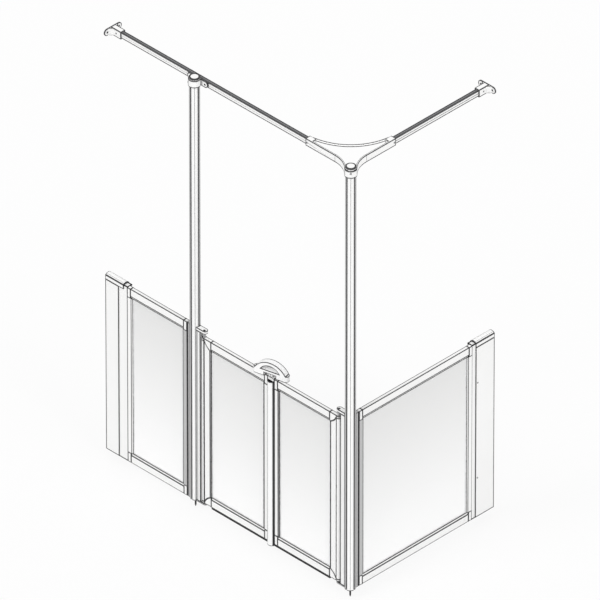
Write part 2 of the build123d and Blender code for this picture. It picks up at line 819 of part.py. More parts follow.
def side_bracket_screw_places():
    """A screw near the end of each wing, and one through the cup into the post."""
    wing_y = rail_offset - rail_width / 2 - cup_wall
    reach = wing_reach - wing_screw_inset
    cup = diagonal(post_radius + cup_wall)
    wings = [((side_post_x + side * reach, wing_y, rail_centre_z), outside) for side in (-1, 1)]
    return wings + [((side_post_x - cup, -cup, rail_centre_z), (-1, -1, 0))]


def diagonal(distance):
    """How far along X, and along Y, a distance at 45 degrees to them reaches."""
    return distance / sqrt(2)


def connector_arm():
    """One arm of the corner connector: a sleeve on the rail, and a thin fascia to the collar."""
    half = rail_width / 2 + fit_gap + bracket_wall
    outer_y = rail_offset - half
    inner_y = outer_y + connector_fascia
    end = diagonal(post_radius + cup_wall)
    bend_radius = (outer_y + end) / (1 - cos(radians(45)))
    start_x = -end - diagonal(bend_radius)
    centre_y = outer_y - bend_radius
    middle = radians(67.5)
    inner_radius = bend_radius + connector_fascia
    outer_mid = (start_x + bend_radius * cos(middle), centre_y + bend_radius * sin(middle))
    inner_mid = (start_x + inner_radius * cos(middle), centre_y + inner_radius * sin(middle))
    inner_end = (start_x + diagonal(inner_radius), centre_y + diagonal(inner_radius))
    outline = Line((-connector_reach, outer_y), (start_x, outer_y))
    outline += ThreePointArc((start_x, outer_y), outer_mid, (-end, -end))
    outline += Line((-end, -end), inner_end)
    outline += ThreePointArc(inner_end, inner_mid, (start_x, inner_y))
    outline += Line((start_x, inner_y), (-connector_reach, inner_y))
    outline += Line((-connector_reach, inner_y), (-connector_reach, outer_y))
    z = (rail_centre_z - connector_height / 2, rail_centre_z + connector_height / 2)
    fascia = Pos(0, 0, z[0]) * extrude(make_face(outline), amount=connector_height)
    return fascia + block((-connector_reach, -sleeve_end), (outer_y, rail_offset + half), z)


def corner_connector():
    """The moulding that joins both rails to the corner post, with a collar round the post."""
    low = rail_centre_z - connector_height / 2
    high = rail_centre_z + connector_height / 2
    arm = connector_arm()
    body = arm + on_return_side(arm) + rod(0, 0, (low, high), post_radius + cup_wall)
    pocket = rail_pocket((-connector_reach, -rail_end))
    body -= rod(0, 0, (low, high), post_radius + pin_running_gap)
    return body - pocket - on_return_side(pocket)


def corner_brace():
    """The slim round brace that curves between the connector's sleeves, inside the corner."""
    along = brace_end_along
    offset = rail_offset + rail_width / 2 + fit_gap + bracket_wall
    mid = brace_mid_offset
    arc = ThreePointArc((-along, offset), (-mid, mid), (-offset, along))
    high = rail_centre_z + connector_height / 2
    start = Plane(origin=arc @ 0, z_dir=arc % 0)
    brace = Pos(0, 0, high - brace_radius) * sweep(start * Circle(brace_radius), path=arc)
    arm = connector_arm()
    brace -= arm
    brace -= on_return_side(arm)
    return brace.solids().sort_by(SortBy.VOLUME)[-1]


def connector_screw_places():
    """A screw at the front of the collar, and one near the end of each arm."""
    collar = diagonal(post_radius + cup_wall)
    arm_y = rail_offset - rail_width / 2 - fit_gap - bracket_wall
    arm = [((wing_screw_inset - connector_reach, arm_y, rail_centre_z), outside)]
    front = ((collar, -collar, rail_centre_z + collar_screw_rise), (1, -1, 0))
    return arm + places_on_return_side(arm) + [front]


def write_part(name, shape):
    export_step(shape, os.path.join("parts", name + ".step"))


def main():
    os.makedirs("parts", exist_ok=True)
    parts = {}

    for name, x in (("corner", 0.0), ("side", side_post_x)):
        parts[name + "_post"] = post(x)
    parts["post_caps"] = Compound([post_cap(0.0), post_cap(side_post_x)])
    parts["foot_plugs"] = Compound([foot_plug(0.0), foot_plug(side_post_x)])
    parts["floor_pins"] = Compound([floor_pin(0.0), floor_pin(side_post_x)])

    for name, shape in fixed_panel(side_panel_wall_end, side_panel_post_end).items():
        parts["side_panel_" + name] = shape
    for name, shape in fixed_panel(return_panel_wall_end, return_joiner_reach).items():
        parts["return_panel_" + name] = on_return_side(shape)
    parts["side_post_joiner"] = post_joiner(side_post_x, -side_panel_post_end, 1)
    parts["corner_post_joiner"] = on_return_side(post_joiner(0.0, -return_joiner_reach, 1))

    left_wall_x = -door_side_length
    right_wall_x = -return_side_length
    parts["left_wall_channel"] = wall_channel(left_wall_x, side_channel_width)
    parts["left_wall_adjuster"] = wall_adjuster(left_wall_x, -side_panel_wall_end)
    left_caps = [
        wall_cap(left_wall_x, side_channel_width + side_wall_cap_overlap),
        adjuster_plug(left_wall_x, -side_panel_wall_end),
    ]
    parts["left_wall_cap"] = Compound(left_caps)
    locks = lock_screw_places(right_wall_x, return_channel_width)
    for name, shape in (
        ("channel", drilled(wall_channel(right_wall_x, return_channel_width), locks)),
        ("adjuster", drilled(wall_adjuster(right_wall_x, -return_panel_wall_end), locks)),
    ):
        parts["right_wall_" + name] = on_return_side(shape)
    right_caps = [
        wall_cap(right_wall_x, return_channel_width),
        adjuster_plug(right_wall_x, -return_panel_wall_end),
    ]
    parts["right_wall_cap"] = Compound([on_return_side(cap) for cap in right_caps])
    parts["lock_screws"] = on_return_side(screws(locks))

    hinge_caps = [
        hinge_cap((frame_height - hinge_cap_height, frame_height)),
        hinge_cap((0, hinge_foot_height)),
    ]
    for name, shape in (
        ("hinge_profile", hinge_profile()),
        ("hinge_caps", Compound(hinge_caps)),
        ("pivot_pins", Compound(pivot_pins())),
    ):
        parts["left_" + name] = shape
        parts["right_" + name] = on_right_door(shape)

    for name, shape in door(left_door_reach).items():
        parts["left_door_" + name] = shape
    for name, shape in door(right_door_reach).items():
        parts["right_door_" + name] = on_right_door(shape)
    parts["meeting_strip"] = meeting_strip()
    parts["meeting_strip_cap"] = strip_cap()
    parts["meeting_edge_seal"] = edge_seal()
    parts["handle_spindle"] = handle_spindle()
    parts["handle_grip"] = handle_grip()

    parts["long_overhead_rail"] = overhead_rail(left_wall_x)
    parts["short_overhead_rail"] = on_return_side(overhead_rail(right_wall_x))
    parts["left_rail_bracket"] = rail_bracket(left_wall_x)
    parts["right_rail_bracket"] = on_return_side(rail_bracket(right_wall_x))
    parts["side_post_bracket"] = side_post_bracket()
    parts["corner_connector"] = corner_connector()
    places = bracket_screw_places(left_wall_x) + side_bracket_screw_places()
    places += places_on_return_side(bracket_screw_places(right_wall_x)) + connector_screw_places()
    for name in (
        "corner_post", "side_post", "long_overhead_rail", "short_overhead_rail",
        "left_rail_bracket", "right_rail_bracket", "side_post_bracket", "corner_connector",
    ):
        parts[name] = drilled(parts[name], places)
    parts["overhead_screws"] = screws(places)
    parts["corner_brace"] = corner_brace()

    for name, shape in parts.items():
        write_part(name, shape)


main()
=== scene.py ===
import json
from math import cos, pi, radians, sin, sqrt

import bpy
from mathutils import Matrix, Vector

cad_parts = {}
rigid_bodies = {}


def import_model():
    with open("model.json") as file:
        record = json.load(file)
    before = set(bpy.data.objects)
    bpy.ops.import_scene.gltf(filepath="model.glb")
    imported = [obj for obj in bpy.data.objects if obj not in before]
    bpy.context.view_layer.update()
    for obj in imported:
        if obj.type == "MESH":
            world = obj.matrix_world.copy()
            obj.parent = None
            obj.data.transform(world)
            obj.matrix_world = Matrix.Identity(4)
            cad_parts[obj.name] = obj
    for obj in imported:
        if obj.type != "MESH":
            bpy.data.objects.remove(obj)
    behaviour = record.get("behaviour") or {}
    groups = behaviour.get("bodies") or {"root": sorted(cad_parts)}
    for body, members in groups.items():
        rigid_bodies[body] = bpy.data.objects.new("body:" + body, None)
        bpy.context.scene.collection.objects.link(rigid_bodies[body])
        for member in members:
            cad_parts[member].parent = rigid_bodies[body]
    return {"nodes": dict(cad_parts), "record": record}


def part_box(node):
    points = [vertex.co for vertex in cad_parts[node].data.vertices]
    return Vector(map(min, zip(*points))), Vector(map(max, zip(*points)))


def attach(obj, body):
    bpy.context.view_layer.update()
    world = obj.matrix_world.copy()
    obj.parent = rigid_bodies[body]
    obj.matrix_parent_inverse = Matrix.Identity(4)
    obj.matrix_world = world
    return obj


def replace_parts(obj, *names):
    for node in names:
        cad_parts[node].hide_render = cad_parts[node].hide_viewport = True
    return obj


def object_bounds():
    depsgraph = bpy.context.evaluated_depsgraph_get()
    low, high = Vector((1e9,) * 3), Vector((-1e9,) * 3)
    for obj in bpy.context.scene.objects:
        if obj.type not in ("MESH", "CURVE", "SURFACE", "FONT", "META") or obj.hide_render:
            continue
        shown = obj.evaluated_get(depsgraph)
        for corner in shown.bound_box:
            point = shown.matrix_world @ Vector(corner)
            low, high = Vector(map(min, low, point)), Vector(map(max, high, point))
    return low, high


# Half height shower screen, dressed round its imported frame. Everything is in metres.

for leftover in list(bpy.data.objects):
    bpy.data.objects.remove(leftover, do_unlink=True)
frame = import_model()
cad_low, cad_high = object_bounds()
nodes = frame["nodes"]

# Places in the frame
post_axes = ((0.0, 0.0), (-0.923, 0.0))
panel_bottom = 0.054
panel_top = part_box("side_panel_stiles")[1].z

# Colours, in linear light
white_paint = (0.86, 0.86, 0.855)
white_plastic = (0.88, 0.88, 0.875)
white_gloss = (0.88, 0.88, 0.88)
# Gray of the painted shade on the posts' flanks and in a band beside each slot
painted_post_shade = (0.38, 0.38, 0.38)
# Gray of the painted shade on the post joiners, the stiles' post sides and the left hinge profile
painted_joint_shade = (0.46, 0.46, 0.46)
barrel_gray = (0.20, 0.20, 0.20)
# Dark gray of the painted shade in the posts' slots
painted_slot_shade = (0.14, 0.14, 0.145)
graphite = (0.030, 0.030, 0.032)
seal_black = (0.0165, 0.0165, 0.0171)
pin_black = (0.012, 0.012, 0.013)
steel_gray = (0.42, 0.42, 0.43)
screw_gray = (0.21, 0.21, 0.215)
gasket_gray = (0.62, 0.62, 0.625)
# Painted shade across the tops of the overhead rails
rail_top_shade = (0.16, 0.16, 0.165)
# Painted shading of the glazing: gray at its top, running to near white at its bottom
glass_shaded_top = (0.77, 0.77, 0.765)
glass_bottom = (0.99, 0.99, 0.99)
floor_gray = (0.80, 0.80, 0.80)

# Roughness of each finish, and the limits or changes that its grain adds
paint_roughness = 0.42
cap_roughness = 0.5
bracket_roughness = 0.38
handle_roughness = 0.28
strip_roughness = 0.3
joiner_roughness = 0.45
line_roughness = 0.55
rubber_roughness = 0.7
screw_roughness = 0.4
pivot_roughness = 0.3
glass_roughness = 0.35
floor_roughness = 0.9
coat_roughness_changes = (-0.05, 0.08)
metal_roughness_changes = (-0.05, 0.1)
profile_roughness_limits = (0.38, 0.5)
rubber_roughness_limits = (0.6, 0.8)
glass_roughness_limits = (0.3, 0.42)

# Grain of each finish: its scale, its detail, its depth and how strongly it shows
paint_grain = (900.0, 3.0, 0.0002, 0.35)
profile_grain = (900.0, 3.0, 0.0002, 0.3)
cap_grain = (1400.0, 3.0, 0.0002, 0.35)
moulding_grain = (500.0, 3.0, 0.0001, 0.35)
handle_grain = (400.0, 3.0, 0.0001, 0.35)
rubber_grain = (1200.0, 2.0, 0.0002, 0.4)
metal_grain = (1500.0, 2.0, 0.0001, 0.2)
glass_grain = (1800.0, 2.0, 0.0001, 0.15)

# Drift of tone: its scale and detail, and the shares of the colour that it runs between
coat_tone = (3.0, 2.0)
coat_tone_shares = (0.975, 1.01)
coat_tone_stops = (0.3, 0.7)
line_tone = (60.0, 2.0)
line_tone_share = 1.7
rubber_tone = (30.0, 2.0)
rubber_tone_share = 1.5

# Glazing and floor
glass_clearness = 0.08
glass_bending = 1.5
floor_glow = 0.86

# Lines that the drawing shows along the edges of each piece
frame_line = 0.0034
channel_line = 0.0045
moulding_line = 0.0034
handle_line = 0.0026
small_line = 0.0020
edge_angle = radians(18)
flat_angle = radians(0.5)
edge_segments = 2
edge_profile = 1.0
merge_distance = 0.00002
line_index = 1
slot_lines = {
    "frame_paint": frame_line,
    "cap_plastic": moulding_line,
    "bracket_plastic": moulding_line,
    "handle_plastic": handle_line,
    "strip_plastic": moulding_line,
}

# Post section
post_skin_radius = 0.0229
# Half the width of the band of painted shade beside each post slot
recess_shade_half_width = 0.0055
post_seam = 0.0008
post_foot_line = 0.0045

# Overhead rails: width of the lines along their edges, and half that of their centre lines
rail_line = 0.0046
long_rail_centre_line = 0.0006
short_rail_centre_line = 0.0014

# Post caps: radius of the white disc, and depth of the ring round it
cap_ring = (0.0165, 0.0060)

# Wall brackets of the overhead rails, with half the width and height of their sleeves
bracket_length = 0.064
bracket_plate = 0.005
bracket_half_sleeve = (0.0132, 0.0182)
bracket_line = 0.0040
ear_reach = 0.034
ear_radius = 0.0168
ear_sides = 50
flare_radius = 0.016
flare_share = 0.96
flare_steps = 10
flare_hollow = 0.15
recess_radius = 0.0068
recess_rim = 0.0014
recess_depth = 0.0006
recess_stand = 0.0014
screw_rim = recess_radius / 3
screw_depth = recess_stand / 2

# How closely a face points along an axis, or across it, to be picked
facing = 0.9
side_on = 0.1

# Bracket between the side post and the long rail, with the inner and outer reach of its wings
cup_radius = 0.027
cup_side_line = 0.0020
wing_reach = 0.060
wing_half_height = 0.0135
side_bracket_line = 0.0038
wing_thickness = 0.0065
wing_radius = 0.0155
wing_ends = (0.020, 0.0445)

# Door handle, about its spindle
handle_axis = (-0.463, -0.004)
handle_turn = radians(14)
handle_half_length = 0.086
handle_half_width = 0.0155
handle_rim_line = 0.0036

# Corner connector and its brace, an arc round a point inside the corner
connector_reach = 0.286
connector_line = 0.0046
collar_radius = 0.0275
face_skin = 0.0001
seam_reach = 0.113
seam_half_width = 0.0009
brace_radius = 0.0058
brace_line = 0.0025
brace_tick_line = brace_line / 3
brace_arc_centre = 0.3043
brace_arc_radius = 0.2606
brace_tick_reach = 0.074
brace_tick = 0.0025
brace_upward_share = 0.816
brace_inward_share = 0.577

# Small lines on the moulded parts, where a pair is the distance from an end and half the width
barrel_line_reach = 0.0095
barrel_half_width = 0.0008
# hinge_shade places a band of painted shade, not a line, on the left hinge profile
hinge_shade = (0.0075, 0.0075)
cap_outline = (0.0023, 0.0013)
strip_lip = 0.0032
strip_bead = (0.010, 0.0012)

# Stage, light and camera
floor_gap = 0.001
floor_height = cad_low.z - floor_gap
floor_size = 40.0
camera_target = Vector((-0.2989, 0.0, 1.3349))
camera_back = Vector((0.57735, -0.57735, 0.57735))
camera_lens = 1500.0
camera_sensor = 36.0
camera_view_width = 2.5108
full_white = 1.0
sky_strength = 0.72
key_strength = 1.05
key_direction = Vector((0.15, 0.8, -0.75))
fill_strength = 1.0
fill_direction = Vector((-0.9, 0.1, -0.6))
lamp_softness = radians(25)


# Measuring the frame

def span(node, axis):
    """A node's lowest and highest place along an axis."""
    index = "XYZ".index(axis)
    return [corner[index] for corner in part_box(node)]


def middle_of(node, axis):
    return sum(span(node, axis)) / 2


# Parts of a material

def start_material(name, colour, roughness):
    """A material whose single-valued sockets are set on its shader."""
    material = bpy.data.materials.new(name)
    material.use_nodes = True
    tree = material.node_tree
    shader = tree.nodes["Principled BSDF"]
    shader.inputs["Base Color"].default_value = (*colour, 1.0)
    shader.inputs["Roughness"].default_value = roughness
    return material, tree, shader


def object_place(tree, centre=(0.0, 0.0, 0.0)):
    """Object coordinates, measured from a point of the frame."""
    coordinates = tree.nodes.new("ShaderNodeTexCoord")
    mapping = tree.nodes.new("ShaderNodeMapping")
    mapping.inputs["Location"].default_value = tuple(-c for c in centre)
    tree.links.new(coordinates.outputs["Object"], mapping.inputs["Vector"])
    return mapping.outputs["Vector"]


def place_parts(tree, place):
    """The X, Y and Z of a place."""
    split = tree.nodes.new("ShaderNodeSeparateXYZ")
    tree.links.new(place, split.inputs["Vector"])
    return split.outputs


def noise(tree, place, scale, detail):
    texture = tree.nodes.new("ShaderNodeTexNoise")
    texture.inputs["Scale"].default_value = scale
    texture.inputs["Detail"].default_value = detail
    tree.links.new(place, texture.inputs["Vector"])
    return texture.outputs["Fac"]


def ramp(tree, value, low, high, start=0.0, end=1.0):
    """Turns a value into a colour between two colours."""
    node = tree.nodes.new("ShaderNodeValToRGB")
    node.color_ramp.elements[0].position = start
    node.color_ramp.elements[1].position = end
    node.color_ramp.elements[0].color = (*low, 1.0)
    node.color_ramp.elements[1].color = (*high, 1.0)
    tree.links.new(value, node.inputs["Fac"])
    return node.outputs["Color"]


def scaled(colour, factor):
    return tuple(c * factor for c in colour)


def mixed(tree, share, first, second):
    """One colour where the share is 0 and the other where it is 1."""
    mix = tree.nodes.new("ShaderNodeMix")
    mix.data_type = "RGBA"
    tree.links.new(share, mix.inputs[0])
    for socket, colour in ((mix.inputs[6], first), (mix.inputs[7], second)):
        if isinstance(colour, tuple):
            socket.default_value = (*colour, 1.0)
        else:
            tree.links.new(colour, socket)
    return mix.outputs[2]


def rough_by(tree, shader, value, low, high):
    """Roughness that follows a value between two limits."""
    spread = tree.nodes.new("ShaderNodeMapRange")
    spread.inputs["To Min"].default_value = low
    spread.inputs["To Max"].default_value = high
    tree.links.new(value, spread.inputs["Value"])
    tree.links.new(spread.outputs["Result"], shader.inputs["Roughness"])


def bump_by(tree, shader, value, depth, strength):
    bump = tree.nodes.new("ShaderNodeBump")
    bump.inputs["Distance"].default_value = depth
    bump.inputs["Strength"].default_value = strength
    tree.links.new(value, bump.inputs["Height"])
    tree.links.new(bump.outputs["Normal"], shader.inputs["Normal"])


def grained(tree, shader, place, grain, roughness_limits):
    """A fine grain that shows in the roughness and as a low bump."""
    scale, detail, depth, strength = grain
    value = noise(tree, place, scale, detail)
    rough_by(tree, shader, value, *roughness_limits)
    bump_by(tree, shader, value, depth, strength)


# Sums on the coordinates of a piece, where a share is 1 inside and 0 outside

def math_node(tree, operation, first, second=0.0):
    node = tree.nodes.new("ShaderNodeMath")
    node.operation = operation
    for socket, value in zip(node.inputs, (first, second)):
        if isinstance(value, float):
            socket.default_value = value
        else:
            tree.links.new(value, socket)
    return node.outputs["Value"]


def plus(tree, first, second):
    return math_node(tree, "ADD", first, second)


def minus(tree, first, second):
    return math_node(tree, "SUBTRACT", first, second)


def times(tree, first, second):
    return math_node(tree, "MULTIPLY", first, second)


def unsigned(tree, value):
    return math_node(tree, "ABSOLUTE", value)


def above(tree, value, limit):
    return math_node(tree, "GREATER_THAN", value, limit)


def below(tree, value, limit):
    return math_node(tree, "LESS_THAN", value, limit)


def both(tree, first, second):
    return times(tree, first, second)


def either(tree, *shares):
    total = shares[0]
    for share in shares[1:]:
        total = math_node(tree, "MAXIMUM", total, share)
    return total


def distance_from(tree, value, middle):
    """How far a coordinate lies from a middle value."""
    return unsigned(tree, minus(tree, value, middle))


def length_of(tree, first, second):
    """The distance from the origin in a plane, from its two coordinates."""
    squares = [times(tree, value, value) for value in (first, second)]
    return math_node(tree, "SQRT", plus(tree, *squares))


def off_middle(tree, parts, node, axis):
    """How far a place lies from a node's middle along an axis, and half the node's size there."""
    low, high = span(node, axis)
    return distance_from(tree, parts[axis], (low + high) / 2), (high - low) / 2


# Plain materials

def coated(name, colour, roughness, grain):
    """A white finish with a fine grain and a faint drift of tone along the piece."""
    material, tree, shader = start_material(name, colour, roughness)
    place = object_place(tree)
    low, high = (scaled(colour, share) for share in coat_tone_shares)
    tone = ramp(tree, noise(tree, place, *coat_tone), low, high, *coat_tone_stops)
    tree.links.new(tone, shader.inputs["Base Color"])
    grained(tree, shader, place, grain, [roughness + change for change in coat_roughness_changes])
    return material


def dark_line():
    """The thin dark line along the edges and joints of the white pieces."""
    material, tree, shader = start_material("edge_line", graphite, line_roughness)
    tone = noise(tree, object_place(tree), *line_tone)
    lighter = scaled(graphite, line_tone_share)
    tree.links.new(ramp(tree, tone, graphite, lighter), shader.inputs["Base Color"])
    return material


def rubber(name, colour):
    material, tree, shader = start_material(name, colour, rubber_roughness)
    place = object_place(tree)
    tone = noise(tree, place, *rubber_tone)
    lighter = scaled(colour, rubber_tone_share)
    tree.links.new(ramp(tree, tone, colour, lighter), shader.inputs["Base Color"])
    grained(tree, shader, place, rubber_grain, rubber_roughness_limits)
    return material


def metal(name, colour, roughness):
    material, tree, shader = start_material(name, colour, roughness)
    shader.inputs["Metallic"].default_value = 1.0
    limits = [roughness + change for change in metal_roughness_changes]
    grained(tree, shader, object_place(tree), metal_grain, limits)
    return material


def frosted_glass():
    """Translucent glazing, with painted shading that makes it grayer towards its top, as in the
    drawing.
    """
    material, tree, shader = start_material("frosted_glass", glass_bottom, glass_roughness)
    place = object_place(tree)
    height = tree.nodes.new("ShaderNodeMapRange")
    height.inputs["From Min"].default_value = panel_bottom
    height.inputs["From Max"].default_value = panel_top
    tree.links.new(place_parts(tree, place)["Z"], height.inputs["Value"])
    tone = ramp(tree, height.outputs["Result"], glass_bottom, glass_shaded_top)
    tree.links.new(tone, shader.inputs["Base Color"])
    grained(tree, shader, place, glass_grain, glass_roughness_limits)
    shader.inputs["Transmission Weight"].default_value = glass_clearness
    shader.inputs["IOR"].default_value = glass_bending
    return material


# Materials that draw the lines of the drawing on a piece

def post_paint(name, centre):
    """The posts' white coat, with painted shade in gray on two flanks and beside the slots, painted
    shade in the slots, and a fine seam down the front.
    """
    material, tree, shader = start_material(name, white_paint, paint_roughness)
    place = object_place(tree, (*centre, 0.0))
    parts = place_parts(tree, place)
    squares = [times(tree, parts[axis], parts[axis]) for axis in "XY"]
    inside = below(tree, plus(tree, *squares), post_skin_radius ** 2)
    aside, along = (unsigned(tree, parts[axis]) for axis in "XY")
    shaded_recess = below(tree, math_node(tree, "MINIMUM", aside, along), recess_shade_half_width)
    shaded_flank = above(tree, times(tree, parts["X"], parts["Y"]), 0.0)
    seam = below(tree, distance_from(tree, aside, along), post_seam)
    foot = below(tree, parts["Z"], post_foot_line)
    # Painted shade: gray on two flanks and in a band beside each slot
    coat = mixed(tree, either(tree, shaded_recess, shaded_flank), white_paint, painted_post_shade)
    # Painted shade inside the slots, together with the dark seam and foot lines
    dark = either(tree, inside, seam, foot)
    tree.links.new(mixed(tree, dark, coat, painted_slot_shade), shader.inputs["Base Color"])
    grained(tree, shader, place, profile_grain, profile_roughness_limits)
    return material


def rail_paint(node, across, centre_line):
    """An overhead rail's white coat, with dark edges, painted shade in dark gray across its top and a
    fine centre line.
    """
    material, tree, shader = start_material(node + "_paint", white_paint, paint_roughness)
    place = object_place(tree)
    parts = place_parts(tree, place)
    aside, half_width = off_middle(tree, parts, node, across)
    drop, half_depth = off_middle(tree, parts, node, "Z")
    near_side = above(tree, aside, half_width - rail_line)
    edge = both(tree, near_side, above(tree, drop, half_depth - rail_line))
    inside = below(tree, aside, half_width - rail_line)
    # Painted shade over the rail's top face, inside its edge lines
    top = both(tree, inside, above(tree, parts["Z"], span(node, "Z")[1] - rail_line))
    coat = mixed(tree, top, white_paint, rail_top_shade)
    dark = either(tree, edge, below(tree, drop, centre_line))
    tree.links.new(mixed(tree, dark, coat, graphite), shader.inputs["Base Color"])
    grained(tree, shader, place, profile_grain, profile_roughness_limits)
    return material


def marked(name, colour, roughness, find_lines, line_colour=graphite):
    """A coated finish with lines where a function of the piece's coordinates finds them."""
    material = coated(name, colour, roughness, moulding_grain)
    tree = material.node_tree
    shader = tree.nodes["Principled BSDF"]
    tone = shader.inputs["Base Color"].links[0].from_socket
    share = find_lines(tree, place_parts(tree, object_place(tree)))
    tree.links.new(mixed(tree, share, tone, line_colour), shader.inputs["Base Color"])
    return material


def thin_bands(axis, bands):
    """Lines across an axis, each given by its middle and half its width."""
    def find_lines(tree, parts):
        near = [below(tree, distance_from(tree, parts[axis], middle), half) for middle, half in bands]
        return either(tree, *near)
    return find_lines


def outline_lines(node, axis, width):
    """Lines along a flat piece's upright edges, and along its top and bottom."""
    def find_lines(tree, parts):
        shares = []
        for name in (axis, "Z"):
            reach, half = off_middle(tree, parts, node, name)
            shares.append(above(tree, reach, half - width))
        return either(tree, *shares)
    return find_lines


def beyond(axis, middle, side):
    """All of a piece that lies on one side of a place."""
    def find_share(tree, parts):
        compare = above if side > 0 else below
        return compare(tree, parts[axis], middle)
    return find_share


def post_cap_lines(tree, parts):
    """A dark ring round the top of each post cap."""
    ring, depth = cap_ring
    top = above(tree, parts["Z"], span("post_caps", "Z")[1] - depth)
    reaches = [
        length_of(tree, minus(tree, parts["X"], x), minus(tree, parts["Y"], y))
        for x, y in post_axes
    ]
    return both(tree, top, above(tree, math_node(tree, "MINIMUM", *reaches), ring))


def cup_sides(tree, aside, along):
    """Two upright lines where a round cup turns away on either side of the screen's corner."""
    spread = unsigned(tree, plus(tree, aside, along))
    side = above(tree, spread, sqrt(2) * (cup_radius - cup_side_line))
    outer = above(tree, minus(tree, aside, along), 0.0)
    inside = below(tree, length_of(tree, aside, along), collar_radius)
    return both(tree, both(tree, side, outer), inside)


def side_bracket_lines(tree, parts):
    """Outlines of the cup round the side post and of its two wings."""
    aside = minus(tree, parts["X"], post_axes[1][0])
    reach = length_of(tree, aside, parts["Y"])
    spread = unsigned(tree, aside)
    drop, half_height = off_middle(tree, parts, "side_post_bracket", "Z")
    cup_edge = above(tree, drop, half_height - side_bracket_line)
    cup = both(tree, cup_edge, above(tree, reach, cup_radius - side_bracket_line))
    wing_drop = distance_from(tree, parts["Z"], middle_of("long_overhead_rail", "Z"))
    wing_edge = either(
        tree,
        above(tree, wing_drop, wing_half_height - side_bracket_line),
        above(tree, spread, wing_reach - side_bracket_line),
    )
    wing = both(tree, wing_edge, above(tree, spread, cup_radius))
    return either(tree, cup, wing, cup_sides(tree, aside, parts["Y"]))


def handle_lines(tree, parts):
    """A line just inside the handle's long rounded outline, and one along its foot."""
    aside = minus(tree, parts["X"], handle_axis[0])
    along = minus(tree, parts["Y"], handle_axis[1])
    straight, turned = cos(handle_turn), sin(handle_turn)
    run = plus(tree, times(tree, aside, straight), times(tree, along, turned))
    across = minus(tree, times(tree, along, straight), times(tree, aside, turned))
    overrun = minus(tree, unsigned(tree, run), handle_half_length - handle_half_width)
    reach = length_of(tree, math_node(tree, "MAXIMUM", overrun), across)
    inside = below(tree, reach, handle_half_width - face_skin)
    rim = both(tree, above(tree, reach, handle_half_width - handle_rim_line), inside)
    foot = span("handle_grip", "Z")[0]
    low_part = below(tree, parts["Z"], foot + handle_line)
    sole = both(tree, low_part, above(tree, parts["Z"], foot + face_skin))
    return either(tree, rim, sole)


def connector_lines(tree, parts):
    """Outlines of the corner connector, its sleeves' mouths, and the seam across each arm."""
    drop, half_height = off_middle(tree, parts, "corner_connector", "Z")
    within = below(tree, drop, half_height - face_skin)
    rim = both(tree, above(tree, drop, half_height - connector_line), within)
    shares = [rim, cup_sides(tree, parts["X"], parts["Y"])]
    for axis in "XY":
        reach = unsigned(tree, parts[axis])
        shares.append(above(tree, reach, connector_reach - connector_line))
        shares.append(below(tree, distance_from(tree, reach, seam_reach), seam_half_width))
    return either(tree, *shares)


def brace_lines(tree, parts):
    """A dark line along the brace's back, one below its front, and two ticks on its back."""
    height = minus(tree, parts["Z"], span("corner_brace", "Z")[1] - brace_radius)
    aside = plus(tree, parts["X"], brace_arc_centre)
    along = minus(tree, parts["Y"], brace_arc_centre)
    inwards = minus(tree, brace_arc_radius, length_of(tree, aside, along))
    rise = times(tree, height, brace_upward_share)
    lean = plus(tree, rise, times(tree, inwards, brace_inward_share))
    outline = above(tree, unsigned(tree, lean), brace_line)
    reach = unsigned(tree, plus(tree, parts["X"], parts["Y"]))
    tick = below(tree, distance_from(tree, reach, brace_tick_reach), brace_tick)
    return either(tree, outline, both(tree, tick, above(tree, lean, brace_tick_line)))


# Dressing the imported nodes

def dress(node, finish, line=None, width=0.0):
    """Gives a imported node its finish, and a dark line of the given width along its edges."""
    piece = nodes[node]
    piece.data.materials.clear()
    piece.data.materials.append(finish)
    if line is None:
        return
    piece.data.materials.append(line)
    weld = piece.modifiers.new("weld", "WELD")
    weld.merge_threshold = merge_distance
    flat = piece.modifiers.new("flat faces", "DECIMATE")
    flat.decimate_type = "DISSOLVE"
    flat.angle_limit = flat_angle
    bevel = piece.modifiers.new("edge line", "BEVEL")
    bevel.width = width
    bevel.segments = edge_segments
    bevel.profile = edge_profile
    bevel.limit_method = "ANGLE"
    bevel.angle_limit = edge_angle
    bevel.use_clamp_overlap = False
    bevel.material = line_index


def repaint(node, finish):
    """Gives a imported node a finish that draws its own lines, in place of lines on its edges."""
    nodes[node].modifiers.clear()
    dress(node, finish)


def recoat(node, finish):
    """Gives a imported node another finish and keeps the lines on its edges."""
    nodes[node].data.materials[0] = finish


def thin_edges(node):
    nodes[node].modifiers["edge line"].width = small_line


# Modelling new pieces, each placed in the frame

def only(piece):
    """Leaves one piece selected and active."""
    bpy.ops.object.select_all(action="DESELECT")
    bpy.context.view_layer.objects.active = piece
    piece.select_set(True)


def settled(name, finish, line):
    """Names the new primitive, gives it its finishes and puts its place into its mesh."""
    piece = bpy.context.object
    piece.name = name
    piece.data.materials.append(finish)
    piece.data.materials.append(line)
    bpy.ops.object.transform_apply(location=True, rotation=True, scale=True)
    return piece


def add_block(name, low, high, finish, line):
    bpy.ops.object.select_all(action="DESELECT")
    centre = [(a + b) / 2 for a, b in zip(low, high)]
    size = [b - a for a, b in zip(low, high)]
    bpy.ops.mesh.primitive_cube_add(size=1.0, location=centre, scale=size)
    return settled(name, finish, line)


def add_disc(name, centre, radius, length, finish, line):
    """A round bar along X."""
    bpy.ops.object.select_all(action="DESELECT")
    bpy.ops.mesh.primitive_cylinder_add(
        vertices=ear_sides, radius=radius, depth=length, location=centre, rotation=(0.0, pi / 2, 0.0)
    )
    return settled(name, finish, line)


